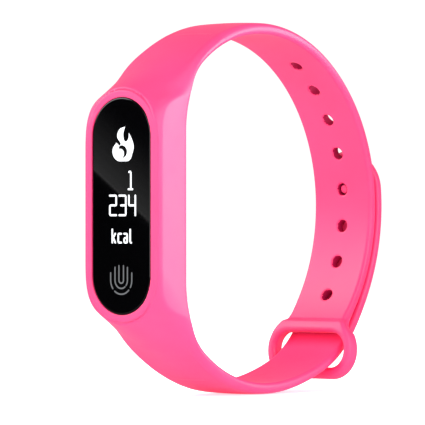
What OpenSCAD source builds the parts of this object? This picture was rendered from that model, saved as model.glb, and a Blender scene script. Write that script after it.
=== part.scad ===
// Fitness tracker band: a soft strap with a clip-in capsule.
// X is the axis of the wrist opening, the capsule faces -Y, and Z runs along the capsule.
// The origin is on the wrist axis, at the centre of the round back of the strap.

/* [Strap] */
// Inner radius of the round back of the strap
wrist_r = 31.9; // [30:0.1:34]
// Width of the strap at its back
strap_w = 14; // [13:0.5:15]
// Thickness of the strap at its back
strap_t = 2; // [1.8:0.1:2.1]
// Thickness of the strap at its top and bottom
shoulder_t = 2.25; // [2.15:0.05:2.5]
// Width of the cradle that holds the capsule
cradle_w = 17.4; // [17:0.1:18.5]
// Depth of the cradle, from its front face to the wrist side
cradle_t = 7.7; // [7.4:0.1:8]
// Half of the straight stretch inside the cradle
cradle_flat = 13.7; // [13:0.1:14.5]
// Distance from the wrist axis to the cradle's wrist side
cradle_y = 24.6; // [24:0.1:25.2]
// Width of the raised ring round the lens
bezel_w = 1.4; // [1.2:0.1:1.5]

/* [Holes and clasp] */
// Number of adjustment holes
hole_count = 8; // [6:1:8]
// Diameter of an adjustment hole
hole_d = 2.3; // [2.2:0.1:2.6]
// Angle between neighbouring holes about the wrist axis
hole_step = 12.6; // [12:0.1:13]
// Angle of the lowest hole below the horizontal
hole_low = 32.05; // [31:0.05:33]
// Which hole, counted from the lowest, holds the stud
stud_hole = 4; // [3:1:4]
// Thickness of the free tail
tail_t = 1.9; // [1.7:0.1:2]
// Gap between the tail and the strap under it
tail_gap = 0.1; // [0.1:0.05:0.3]

/* [Keeper loop] */
// Width of the loop across its ears
loop_w = 20.4; // [20:0.1:21]
// Height of the loop from its top rim to its end bar
loop_h = 10.9; // [10.8:0.1:11.4]
// Width of the loop's opening
loop_open_w = 16.6; // [16:0.1:17.4]
// Height of the loop's opening
loop_open_h = 6.7; // [6.6:0.1:7]
// Thickness of the loop
loop_t = 2.6; // [2:0.1:2.8]
// How far the loop leans outward from the vertical, in degrees; below 0 it leans toward the wrist
loop_lean = -5; // [-6:0.1:2]

/* [Capsule] */
// Width of the capsule
capsule_w = 14.1; // [14:0.05:14.3]
// Length of the capsule
capsule_l = 39.4; // [39:0.1:39.6]
// Thickness of the capsule without its sensor collar
capsule_t = 9.2; // [9:0.1:9.4]
// Height of the sensor collar on the rear cover
collar_h = 1.3; // [1:0.1:1.5]
// Thickness of the front lens
lens_t = 1; // [0.8:0.1:1.1]
// Wall thickness of the housings
wall = 1; // [0.9:0.05:1.1]
// Clearance between the capsule and its pocket, on each side
pocket_gap = 0.1; // [0.05:0.05:0.15]

/* [Electronics] */
// Length of the display panel
display_l = 26; // [24:0.5:26]
// Width of the display panel
display_w = 10.2; // [9:0.1:10.2]
// Thickness of the display panel
display_t = 1.3; // [1:0.1:1.4]
// Height of the display panel's centre above the capsule's centre
display_z = 2.4; // [2:0.1:2.6]
// Thickness of the main board
board_t = 0.8; // [0.6:0.1:0.8]
// Length of the battery
battery_l = 23; // [20:0.5:23]
// Width of the battery
battery_w = 9.4; // [8:0.1:9.4]
// Thickness of the battery
battery_t = 2.7; // [2.2:0.1:2.8]
// Height of the battery's centre above the capsule's centre
battery_z = 4; // [3.5:0.1:4.5]
// Diameter of the coin vibration motor
motor_d = 8; // [7:0.5:8]
// Thickness of the coin vibration motor
motor_t = 2.6; // [2.4:0.1:2.7]
// Height of the motor's centre above the capsule's centre
motor_z = -13; // [-13.2:0.1:-12.8]

/* [Hidden] */
$fn = 64;

// Colours
pink = [1, 0.3, 0.52];
black = [0.05, 0.05, 0.06];
green = [0.05, 0.3, 0.18];
gold = [0.85, 0.66, 0.3];
steel = [0.75, 0.76, 0.78];

// Side outline of the strap. It is followed by its turning angle: 0 at the cradle's
// straight stretch, 90 at the top or bottom, 180 at the middle of the back.
bend_r = (wrist_r^2 - cradle_y^2 - cradle_flat^2) / (2 * (wrist_r - cradle_y));
bend_c = [bend_r - cradle_y, cradle_flat];
bend_end = atan2(bend_c.y, -bend_c.x);
front_y = -cradle_y - cradle_t;
outline_step = 4;

// The keeper loop: the top of its middle plane, and the turning angle where the upper arm meets it
loop_top = [23.3, -21.3];
loop_bar = 2;
upper_end = 223;

// The tail: its inner radius, its stud, and the turning angle of the line it peels away from
tail_r = wrist_r + strap_t + tail_gap;
tail_end_r = strap_w / 2;
tail_lap = tail_r - wrist_r;
loop_rise = 0.9;
peel_angle = 133;
peel_clear = 0.3;
stud_angle = (stud_hole - 1) * hole_step - hole_low;
stud_d = 1.8;
stud_sunk = 0.6;
disc_d = 5;
disc_t = 0.5;

// Depths inside the capsule, from the front lens to the wrist side
capsule_r = capsule_w / 2;
capsule_half = capsule_l / 2 - capsule_r;
lens_back = front_y + lens_t;
tape_t = 0.15;
frame_front = lens_back + tape_t;
rear_face = front_y + capsule_t;
seal_y = front_y + 6;
seal_t = 0.3;
collar_face = rear_face + collar_h;
board_y = frame_front + display_t + 0.35;
board_back = board_y + board_t;
battery_y = rear_face - wall - 0.3 - battery_t;
motor_y = rear_face - wall - 0.4 - motor_t;
groove_y = front_y + 4.2;
groove_h = 1.2;
groove_t = 0.45;
rib_clear = 0.1;

// Pulse sensor's window and the charging pads, on the rear cover
window_t = 0.8;
window_r = 4.2;
window_half = 2;
window_rim = 0.9;
sensor_board_t = 0.6;
sensor_y = rear_face - wall + 0.05;
contact_pitch = 5;
contact_z = -14.5;
contact_d = 2;

// Inside the motor
motor_wall = 0.25;
motor_lid = 0.3;
shaft_d = 0.8;
bearing_gap = 0.04;

// Eases from 0 to 1 as its argument goes from 0 to 1
function ease(x) = let (k = min(1, max(0, x))) k * k * (3 - 2 * k);
// Outward direction at a turning angle
function outward(a) = [-cos(a), sin(a)];
// Inner outline of a plain ring
function inner_point(a) = a < bend_end ? bend_c + bend_r * outward(a) : wrist_r * outward(a);
// Thickness of the upper arm
function upper_t(a) =
    strap_t + (shoulder_t - strap_t) * ease((140 - a) / 55)
    + (cradle_t - shoulder_t) * exp(-(a / 19)^2);
// How far the lower arm stands off the plain ring, to lap over the upper arm
function lower_rise(a) =
    tail_lap * ease((a - 40) / 110) + loop_rise * exp(-((a - 129) / 14)^2);
// Thickness of the lower arm and the tail
function lower_t(a) =
    tail_t + (shoulder_t - tail_t) * ease((135 - a) / 50)
    + (cradle_t - shoulder_t) * exp(-(a / 19)^2);
function upper_inner(a) = inner_point(a);
function upper_outer(a) = inner_point(a) + upper_t(a) * outward(a);
function lower_inner(a) = inner_point(a) + lower_rise(a) * outward(a);
function lower_outer(a) = lower_inner(a) + lower_t(a) * outward(a);
function flip(p) = [p.x, -p.y];
// The peel line, in the middle of the lower arm's thickness
peel_at = flip((lower_inner(peel_angle) + lower_outer(peel_angle)) / 2);
peel_knuckle = lower_t(peel_angle) / 2;

// Draws a side outline, given as [Y, Z], as a solid of width w across X
module across(w) {
    rotate([90, 0, 90]) translate([0, 0, -w / 2]) linear_extrude(w) children();
}

// Places a flat shape, drawn as [X, Z], from depth y0 to depth y1
module deep(y0, y1) {
    translate([0, y1, 0]) rotate([90, 0, 0]) linear_extrude(y1 - y0) children();
}

// A pill outline of radius r along Z
module pill(r, half = capsule_half) {
    square([2 * r, 2 * half], center = true);
    for (s = [-1, 1]) translate([0, s * half]) circle(r);
}

// A ring between two pill outlines
module pill_ring(r_out, r_in) {
    difference() {
        pill(r_out);
        pill(r_in);
    }
}

// A pin along the outward direction at angle a from +Y, from radius r0 to r1
module radial_pin(a, r0, r1, d) {
    rotate([a, 0, 0]) translate([0, r0, 0]) rotate([-90, 0, 0]) cylinder(h = r1 - r0, d = d);
}

// ---- Strap ----

// Top view that narrows the strap from the cradle to the back
module width_limit() {
    narrow_y = -4;
    wide_y = -cradle_y + 1;
    outline = [
        [cradle_w / 2, front_y - 1], [cradle_w / 2, wide_y], [strap_w / 2, narrow_y],
        [strap_w / 2, 60], [-strap_w / 2, 60], [-strap_w / 2, narrow_y],
        [-cradle_w / 2, wide_y], [-cradle_w / 2, front_y - 1]
    ];
    translate([0, 0, -60]) linear_extrude(120) polygon(outline);
}

// The whole side outline of the strap, from the loop over the cradle to the peel line
module strap_outline() {
    upper = [for (a = [upper_end:-outline_step:0]) a];
    lower = [for (a = [0:outline_step:peel_angle]) a];
    polygon(concat(
        [for (a = upper) upper_outer(a)],
        [for (a = lower) flip(lower_outer(a))],
        [flip(lower_outer(peel_angle)), flip(lower_inner(peel_angle))],
        [for (i = [len(lower) - 1:-1:0]) flip(lower_inner(lower[i]))],
        [for (i = [len(upper) - 1:-1:0]) upper_inner(upper[i])]
    ));
}

// Side outline of the shoulder that runs from the end of the lens ring down to an arm
module shoulder_outline(edge, foot) {
    polygon(concat(
        [[front_y, capsule_half], edge, foot],
        [for (a = [60:-15:0]) (upper_inner(a) + upper_outer(a)) / 2]
    ));
}

// Round shoulders at both ends of the lens ring, each part of a cone about the ring's end
module shoulders() {
    ring_r = capsule_r + bezel_w;
    edge = [front_y, capsule_half + ring_r];
    arm_r = wrist_r + shoulder_t;
    foot = arm_r * outward(atan2(edge.y, -edge.x) + acos(arm_r / norm(edge)));
    depth = foot.x - edge.x;
    for (s = [0, 1]) mirror([0, 0, s]) intersection() {
        across(cradle_w) shoulder_outline(edge, foot);
        translate([0, front_y, capsule_half]) rotate([-90, 0, 0])
            cylinder(h = depth, r1 = ring_r, r2 = ring_r + foot.y - edge.y);
        width_limit();
    }
}

// A rectangle with round corners, its top edge at the drawing's origin
module round_plate(w, h, r) {
    translate([0, -h / 2]) {
        square([w - 2 * r, h], center = true);
        square([w, h - 2 * r], center = true);
        for (s = [-1, 1], t = [-1, 1]) translate([s * (w / 2 - r), t * (h / 2 - r)]) circle(r);
    }
}

// The keeper loop in its leaning plane
module loop_plate() {
    ear = 5.3;
    corner = 3.2;
    translate([0, loop_top.x, loop_top.y]) rotate([loop_lean, 0, 0])
        deep(-loop_t / 2, loop_t / 2) difference() {
            round_plate(loop_w, loop_h, ear);
            translate([0, -loop_bar]) round_plate(loop_open_w, loop_open_h, corner);
        }
}

// One-piece strap: cradle, both arms, holes and keeper loop
module strap() {
    color(pink) difference() {
        union() {
            intersection() {
                across(cradle_w + 1) strap_outline();
                width_limit();
            }
            shoulders();
            deep(front_y, -cradle_y) pill(capsule_r + bezel_w);
            loop_plate();
        }
        deep(front_y - 1, -cradle_y + 5) pill(capsule_r + pocket_gap);
        for (i = [0:hole_count - 1])
            radial_pin(i * hole_step - hole_low, wrist_r - 2, wrist_r + 4, hole_d);
        translate([0, peel_at.x, peel_at.y]) rotate([0, 90, 0])
            cylinder(h = strap_w + 1, r = peel_knuckle + peel_clear, center = true);
    }
}

// Rib on the pocket's wall that sits in the capsule's groove
module pocket_rib() {
    color(pink) deep(groove_y + rib_clear, groove_y + groove_h - rib_clear)
        pill_ring(capsule_r + pocket_gap, capsule_r - groove_t + rib_clear);
}

// Free tail outside the loop, with a round tip about the stud
module strap_tail() {
    steps = [for (a = [peel_angle:outline_step:180]) a];
    tip = stud_angle + asin(tail_end_r / tail_r);
    upper = [for (a = [0:outline_step:tip]) 180 - a];
    color(pink) difference() {
        union() {
            intersection() {
                across(strap_w) polygon(concat(
                    [for (a = steps) flip(lower_outer(a))],
                    [for (i = [0:len(upper) - 1]) lower_outer(upper[i])],
                    [for (i = [len(upper) - 1:-1:0]) lower_inner(upper[i])],
                    [for (i = [len(steps) - 1:-1:0]) flip(lower_inner(steps[i]))]
                ));
                union() {
                    rotate([stud_angle, 0, 0]) rotate([-90, 0, 0]) cylinder(h = 60, r = tail_end_r);
                    rotate([stud_angle, 0, 0]) translate([-strap_w / 2, 0, -60])
                        cube([strap_w, 60, 60]);
                }
            }
            translate([0, peel_at.x, peel_at.y]) rotate([0, 90, 0])
                cylinder(h = strap_w, r = peel_knuckle, center = true);
        }
        radial_pin(stud_angle, tail_r - 1, tail_r + disc_t, stud_d);
        stud_disc();
    }
}

// Stud that sits in a hole, its tapered tip a little below the wrist side
module clasp_stud() {
    tip_l = 0.4;
    tip_d = 1.1;
    tip_r = wrist_r + stud_sunk;
    color(pink) {
        radial_pin(stud_angle, tip_r + tip_l, tail_r + disc_t, stud_d);
        rotate([stud_angle, 0, 0]) translate([0, tip_r, 0]) rotate([-90, 0, 0])
            cylinder(h = tip_l, d1 = tip_d, d2 = stud_d);
    }
}

// Flange of the stud, moulded into the tail
module stud_disc() {
    color(pink) radial_pin(stud_angle, tail_r + disc_t, tail_r + 2 * disc_t, disc_d);
}

// ---- Capsule ----

module front_lens() {
    color(black) deep(front_y, lens_back) pill(capsule_r);
}

module lens_adhesive() {
    color([0.2, 0.2, 0.2]) deep(lens_back, frame_front) pill_ring(capsule_r - 0.1, capsule_r - 0.8);
}

module oled_display() {
    color([0.1, 0.12, 0.2]) translate([0, lens_back + tape_t / 2, display_z])
        deep(0, display_t) square([display_w, display_l], center = true);
}

// Flexible lead from the display's lower end to the main board
module display_flex() {
    flex_t = 0.12;
    flex_w = 6;
    low_z = display_z - display_l / 2;
    y0 = lens_back + 0.9;
    color("orange") across(flex_w) polygon([
        [y0, low_z], [y0, low_z - 1], [board_y, low_z - 1], [board_y, low_z + 2],
        [board_y - flex_t, low_z + 2], [board_y - flex_t, low_z - 1 + flex_t],
        [y0 + flex_t, low_z - 1 + flex_t], [y0 + flex_t, low_z]
    ]);
}

module touch_electrode() {
    touch_z = -14;
    color(gold) translate([0, 0, touch_z]) deep(lens_back, lens_back + 0.2) circle(d = 5.6);
}

// Upper housing: a pill tube with the groove that the strap's rib grips, and a shelf for the board
module front_frame() {
    shelf = 0.7;
    shelf_w = 0.5;
    color(black) difference() {
        deep(frame_front, seal_y) pill(capsule_r);
        deep(frame_front - 1, board_back) pill(capsule_r - wall);
        deep(board_back - 0.1, board_back + shelf) pill(capsule_r - wall - shelf_w);
        deep(board_back + shelf, seal_y + 1) pill(capsule_r - wall);
        deep(groove_y, groove_y + groove_h) pill_ring(capsule_r + 1, capsule_r - groove_t);
    }
}

module case_seal() {
    color([0.3, 0.3, 0.3]) deep(seal_y, seal_y + seal_t)
        pill_ring(capsule_r - 0.15, capsule_r - wall + 0.1);
}

// Lower housing: a shallow tub with the raised collar of the pulse sensor
module rear_cover() {
    seat = collar_face - window_t;
    color(black) difference() {
        union() {
            deep(seal_y + seal_t, rear_face) pill(capsule_r);
            deep(rear_face - 0.5, collar_face) pill(window_r + window_rim, window_half);
        }
        deep(seal_y, rear_face - wall) pill(capsule_r - wall);
        deep(seal_y, seat) pill(window_r - 0.5, window_half);
        deep(seat, collar_face + 1) pill(window_r, window_half);
        at_contacts() deep(rear_face - wall - 1, rear_face + 1) circle(d = contact_d);
    }
}

module at_contacts() {
    for (s = [-1, 1]) translate([s * contact_pitch / 2, 0, contact_z]) children();
}

module main_board() {
    color(green) deep(board_y, board_back) pill(capsule_r - wall - 0.15);
}

// A flat package on the wrist side of the board: width, length, height at x, z
module chip(w, l, h, x, z) {
    translate([x, 0, z]) deep(board_back, board_back + h) square([w, l], center = true);
}

module bluetooth_chip() {
    color([0.15, 0.15, 0.16]) chip(5, 5, 0.9, 0, -4);
}

module memory_chip() {
    color([0.15, 0.15, 0.16]) chip(4, 3, 0.7, 0, 1.5);
}

module power_chip() {
    color([0.15, 0.15, 0.16]) chip(3, 3, 0.7, 2, 8);
}

module motion_sensor() {
    color([0.15, 0.15, 0.16]) chip(2, 2, 0.8, -2.5, 8);
}

module crystal() {
    color(steel) chip(2, 1.6, 0.5, 3.7, 3.4);
}

module antenna() {
    color("white") chip(3.2, 1.6, 0.8, 0, 16.5);
}

module battery_cell() {
    color([0.8, 0.8, 0.82]) translate([0, battery_y, battery_z])
        deep(0, battery_t) square([battery_w, battery_l], center = true);
}

module battery_tape() {
    color("ivory") translate([0, battery_y - 0.2, battery_z])
        deep(0, 0.2) square([battery_w - 2, battery_l - 4], center = true);
}

// Two leads from the battery's lower end to the board
module battery_leads() {
    lead_d = 0.5;
    low_z = battery_z - battery_l / 2;
    for (s = [-1, 1]) color(s < 0 ? "black" : "red") {
        translate([s * 3.5, battery_y + 1, low_z - 0.6]) cylinder(h = 0.6, d = lead_d);
        translate([s * 3.5, 0, low_z - 0.6]) deep(board_back, battery_y + 1) circle(d = lead_d);
    }
}

module sensor_board() {
    color(green) deep(sensor_y, sensor_y + sensor_board_t) pill(window_r - 0.7, window_half);
}

// Light sensor between two lamps, on the sensor board
module pulse_sensor() {
    y0 = sensor_y + sensor_board_t;
    color([0.2, 0.2, 0.2]) deep(y0, y0 + 0.5) square([3, 2.4], center = true);
    color([0.7, 0.9, 0.7]) for (s = [-1, 1]) translate([0, 0, s * 3])
        deep(y0, y0 + 0.5) square(1.6, center = true);
}

module sensor_window() {
    fit = 0.03;
    color([0.2, 0.22, 0.25]) deep(collar_face - window_t, collar_face - 0.05)
        pill(window_r - fit, window_half);
}

module charge_contacts() {
    color(gold) at_contacts() deep(rear_face - wall, rear_face) circle(d = contact_d);
}

// ---- Vibration motor, its axis along Y ----

// Places a round shape at the motor, from depth y0 to depth y1 behind its front face
module at_motor(y0, y1) {
    translate([0, motor_y, motor_z]) deep(y0, y1) children();
}

// Cup with a bore that holds the shaft
module motor_case() {
    color(steel) difference() {
        at_motor(0, motor_t - motor_lid) circle(d = motor_d);
        at_motor(motor_wall, motor_t) circle(d = motor_d - 2 * motor_wall);
        at_motor(-1, motor_t) circle(d = shaft_d);
    }
}

module motor_cover() {
    color(steel) at_motor(motor_t - motor_lid, motor_t) circle(d = motor_d);
}

module motor_shaft() {
    color(steel) at_motor(0, motor_t - motor_lid) circle(d = shaft_d);
}

// Half-disc weight with a round hub
module motor_rotor() {
    rotor_r = motor_d / 2 - motor_wall - 0.35;
    rotor_t = 1.3;
    hub_r = 1.2;
    y0 = motor_wall + 0.3;
    color([0.55, 0.5, 0.4]) difference() {
        union() {
            at_motor(y0, y0 + rotor_t) intersection() {
                circle(r = rotor_r);
                translate([-rotor_r, -2 * rotor_r]) square(2 * rotor_r);
            }
            at_motor(y0, y0 + rotor_t) circle(r = hub_r);
        }
        at_motor(0, motor_t) circle(d = shaft_d + 2 * bearing_gap);
    }
}

// Two leads from the motor's rim to the board
module motor_leads() {
    lead_d = 0.4;
    drop = 0.6;
    rim_z = motor_z + sqrt((motor_d / 2)^2 - 1.2^2);
    for (s = [-1, 1]) color(s < 0 ? "blue" : "red") translate([s * 1.2, 0, rim_z]) {
        translate([0, motor_y + 1, 0]) cylinder(h = drop + lead_d / 2, d = lead_d);
        translate([0, 0, drop]) deep(board_back, motor_y + 1) circle(d = lead_d);
    }
}

strap();
pocket_rib();
strap_tail();
clasp_stud();
stud_disc();
front_lens();
lens_adhesive();
oled_display();
display_flex();
touch_electrode();
front_frame();
case_seal();
rear_cover();
main_board();
bluetooth_chip();
memory_chip();
power_chip();
motion_sensor();
crystal();
antenna();
battery_cell();
battery_tape();
battery_leads();
sensor_board();
pulse_sensor();
sensor_window();
charge_contacts();
motor_case();
motor_cover();
motor_shaft();
motor_rotor();
motor_leads();
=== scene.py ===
"""Looks of the fitness tracker band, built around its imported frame.

Sizes inside the mesh code are in millimetres in the row frame: +X along the wrist axis,
-Y out of the display, +Z towards the arm with the holes. MM turns them into metres.
"""

import math

import bpy
import numpy as np
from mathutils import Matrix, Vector


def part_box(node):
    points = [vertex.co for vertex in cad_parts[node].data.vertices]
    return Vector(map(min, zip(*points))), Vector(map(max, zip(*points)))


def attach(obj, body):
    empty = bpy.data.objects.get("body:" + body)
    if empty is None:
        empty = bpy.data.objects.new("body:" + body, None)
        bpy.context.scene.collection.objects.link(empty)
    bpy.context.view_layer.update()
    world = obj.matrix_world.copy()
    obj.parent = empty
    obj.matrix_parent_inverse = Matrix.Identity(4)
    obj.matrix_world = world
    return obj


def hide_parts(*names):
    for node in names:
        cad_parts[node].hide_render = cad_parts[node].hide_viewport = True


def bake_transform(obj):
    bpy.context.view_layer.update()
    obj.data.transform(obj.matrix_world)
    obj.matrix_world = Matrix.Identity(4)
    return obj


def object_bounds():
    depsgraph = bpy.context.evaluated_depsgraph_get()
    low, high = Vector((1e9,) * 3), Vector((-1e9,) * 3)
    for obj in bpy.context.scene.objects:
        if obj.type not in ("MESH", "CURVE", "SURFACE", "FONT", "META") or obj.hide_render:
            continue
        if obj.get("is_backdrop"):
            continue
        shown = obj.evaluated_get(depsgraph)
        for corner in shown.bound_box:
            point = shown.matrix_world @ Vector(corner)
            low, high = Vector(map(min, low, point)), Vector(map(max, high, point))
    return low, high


bl_info = {
    "name": "Fitness tracker band",
    "version": (1, 0, 0),
    "blender": (4, 5, 0),
    "location": "View3D > Sidebar > Tracker band",
    "description": "Builds the strap, the capsule and its display around the packed frame",
    "category": "Add Mesh",
}

MM = 0.001

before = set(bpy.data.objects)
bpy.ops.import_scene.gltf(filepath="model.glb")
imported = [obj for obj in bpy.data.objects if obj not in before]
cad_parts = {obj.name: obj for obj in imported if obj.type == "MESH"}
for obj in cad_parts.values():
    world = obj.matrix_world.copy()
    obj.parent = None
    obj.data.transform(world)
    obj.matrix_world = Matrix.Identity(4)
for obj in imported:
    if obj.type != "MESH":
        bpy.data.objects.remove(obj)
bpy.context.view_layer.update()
lens_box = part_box("front_lens")
collar_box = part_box("rear_cover")

# ---- Fixed sizes of the frame, in millimetres ----

FRONT_Y = lens_box[0].y / MM
LENS_R = lens_box[1].x / MM
LENS_HALF = lens_box[1].z / MM - LENS_R
LENS_T = (lens_box[1].y - lens_box[0].y) / MM
COLLAR_Y = collar_box[1].y / MM
COLLAR_H = 1.3
REAR_Y = COLLAR_Y - COLLAR_H
SEAL_Y = -26
POCKET_R = LENS_R + 0.05
RING_R = 8.4
RING_RISE = 0.35
RING_EDGE = 0.3
CRADLE_Y = 24.6
CRADLE_T = 7.7
CRADLE_FLAT = 13.7
CRADLE_HALF = 8.55
EDGE_IN = 0.75
SHOULDER_T = 2.25
TAIL_T = 1.9
TAIL_LAP = 2.1
LOOP_RISE = 0.9
SEAM_ANGLE = 127
STUD_ANGLE = 5.75
STUD_TIP_R = 32.5
DISC_R = 35
HOLE_COUNT = 8
HOLE_STEP = 12.6
LOW_HOLE = 212.05
LOOP_TOP = (23.3, -21.3)
LOOP_LEAN = -5
LOOP_W = 20.4
LOOP_H = 10.9
LOOP_T = 2.6
LOOP_BAR = 2
LOOP_OPEN_W = 16.6
LOOP_OPEN_H = 6.7
LOOP_EAR = 5.3
LOOP_CORNER = 3.2
LOOP_BEND_R = 3.3
LOOP_FILLET = 3.2
WINDOW_R = 4.2
WINDOW_HALF = 2
CONTACT_X = 2.5
CONTACT_Z = -14.5

# ---- Roundings of the strap's form, in millimetres ----

POD_FILLET = 2.4
POCKET_RIM = 0.15
HOLE_RIM = 0.35
LOOP_RIM = 0.3
GROOVE_DEPTH = 0.12
GROOVE_WIDTH = 0.2

# ---- Lit signs: places as (x, z) of the lower left corner or the middle, in millimetres ----

SIGN_Y = FRONT_Y - 0.01
SIGN_T = 0.02
SIGN_CORNER = 0.25
TOP_DIGIT = (1.75, 3.05, 0.95, 3.6)
LOW_DIGIT = (-2.75, -1.65, 1.55, 3.55)
LOW_DIGIT_STEP = 2.3
UNIT_LETTERS = (-2.15, -6.6, 0.72, 2.35)
UNIT_STROKE = 0.36
TOUCH_MIDDLE = (0.0, -13.4)
TOUCH_STROKE = 0.28
FLAME_MIDDLE = (0.4, 8.1)
FLAME_W = 5.2
FLAME_H = 6.4
DOT_PITCH = 0.14

# ---- Stage ----

CAMERA_LENS = 364
CAMERA_TILT = 0.0017
AIM_RIGHT = -4.38
AIM_UP = -1.2
FLOOR_REACH = 0.6
FLOOR_DROP = 0.02
BACKDROP = 1.05
GLOSS_SHARE = 0.15

# Soft lights: name, azimuth and elevation in degrees, distance in metres, aim along Y in
# millimetres, size in metres, share of the key's power
LIGHTS = (
    ("key", 136, 8, 0.7, 0, 0.5, 1),
    ("side", 70, 20, 0.5, -20, 0.3, 0.2),
    ("front", 5, 10, 0.6, 0, 0.35, 0.22),
    ("left", -60, 30, 0.6, 0, 0.5, 0.5),
    ("top", 80, 65, 0.6, 0, 0.4, 0.1),
)

# What the lens reflects: a dark flag behind a slanted bright card that fades in strips. Corners
# are (x, z) on the lens in millimetres, distances beyond the lens are in metres
FLAG = ((-12, -26), (12, -26), (12, 26), (-12, 26))
FLAG_BEYOND = 0.52
CARD_LEFT = (-9, 8.3)
CARD_RIGHT = (9, -4.4)
CARD_BEYOND = 0.5
CARD_STRIPS = 8
CARD_STEP = 1.8
EDGE_BEYOND = 0.495
EDGE_STEP = 0.22
EDGE_GLOW = 1.3

# A dark plate beside the band that keeps the key's glare off the tail, in millimetres
SHADE_MIDDLE = Vector((7, 35, 0))
SHADE_ALONG = Vector((0.69, 0.72, 0))
SHADE_ACROSS = Vector((0.72, -0.69, 0))
SHADE_AWAY = 28
SHADE_CORNERS = ((-30, -45), (20, -45), (20, 30), (-30, 30))


# ---- Settings shown in the sidebar ----


def length(name, description, default):
    """A length property, its default given in millimetres."""
    return bpy.props.FloatProperty(
        name=name, description=description, default=default * MM, min=0, unit="LENGTH", precision=5
    )


def colour(name, description, default):
    """A colour property."""
    return bpy.props.FloatVectorProperty(
        name=name, description=description, default=default, size=3, min=0, max=1, subtype="COLOR"
    )


class StrapSettings(bpy.types.PropertyGroup):
    """Sizes and colours of the silicone strap."""

    wrist_radius: length("Wrist radius", "Inner radius of the round back", 31.9)
    thickness: length("Thickness", "Thickness of the upper arm", 2)
    half_width: length("Half width", "Half the width of the arms", 7)
    edge: length("Edge rounding", "Radius of the long edges of the arms", 0.88)
    crown: length("Crown", "How far the outer face is raised along its middle", 0.22)
    hole: length("Hole", "Radius of the adjustment holes", 1.15)
    light_pink: colour("Light pink", "Lighter tint of the silicone", (0.96, 0.034, 0.18))
    deep_pink: colour("Deep pink", "Deeper tint of the silicone", (0.94, 0.028, 0.16))


class CapsuleSettings(bpy.types.PropertyGroup):
    """Edge sizes and colours of the capsule."""

    lens_edge: length("Lens edge", "Rounding of the lens's front edge", 0.3)
    cover_edge: length("Cover edge", "Rounding of the rear cover's edge", 0.8)
    shell: colour("Shell", "Colour of the two housings", (0.012, 0.012, 0.014))
    lens: colour("Lens", "Colour printed behind the lens", (0.0006, 0.0006, 0.0008))


class DisplaySettings(bpy.types.PropertyGroup):
    """What the display shows."""

    top_count: bpy.props.IntProperty(
        name="Thousands", description="Number on the upper line", default=1, min=0, max=9
    )
    low_count: bpy.props.IntProperty(
        name="Hundreds", description="Number on the lower line", default=234, min=100, max=999
    )
    stroke: length("Stroke", "Width of the digits' strokes", 0.36)
    glow: bpy.props.FloatProperty(
        name="Glow", description="Strength of the lit signs", default=1.6, min=0, max=20
    )
    lit: colour("Lit", "Colour of the lit signs", (0.95, 0.97, 1))


class StageSettings(bpy.types.PropertyGroup):
    """Camera and light."""

    azimuth: bpy.props.FloatProperty(
        name="Azimuth", description="Camera angle round the band", default=math.radians(40.3),
        subtype="ANGLE",
    )
    distance: length("Distance", "Distance from the camera to the band", 802)
    surround: bpy.props.FloatProperty(
        name="Surround", description="Strength of the soft light from all sides", default=0.5, min=0
    )
    glare: bpy.props.FloatProperty(
        name="Glare", description="Strength of the slanted reflection on the lens", default=0.5, min=0
    )
    key: bpy.props.FloatProperty(
        name="Key", description="Power of the main soft light", default=6, min=0, unit="POWER"
    )


# ---- Shapes as fields: a value below 0 is inside the solid ----


def ease(x):
    """Eases from 0 to 1 as x goes from 0 to 1."""
    k = np.clip(x, 0, 1)
    return k * k * (3 - 2 * k)


def smooth_min(a, b, k):
    """Union of two fields with a fillet of about k."""
    h = np.maximum(k - np.abs(a - b), 0) / k
    return np.minimum(a, b) - h * h * k / 4


def smooth_max(a, b, k):
    """Intersection of two fields with a rounding of about k."""
    return -smooth_min(-a, -b, k)


def round_section(across, through, r):
    """Rounded edge between an outline's field and a thickness field."""
    u = across + r
    v = through + r
    return np.hypot(np.maximum(u, 0), np.maximum(v, 0)) + np.minimum(np.maximum(u, v), 0) - r


def round_rectangle(x, y, half_w, half_h, r):
    """Field of a rectangle with round corners."""
    u = np.abs(x) - half_w + r
    v = np.abs(y) - half_h + r
    return np.hypot(np.maximum(u, 0), np.maximum(v, 0)) + np.minimum(np.maximum(u, v), 0) - r


def pill_field(x, z, r, half):
    """Field of a pill outline along Z."""
    return np.hypot(x, np.maximum(np.abs(z) - half, 0)) - r


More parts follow.
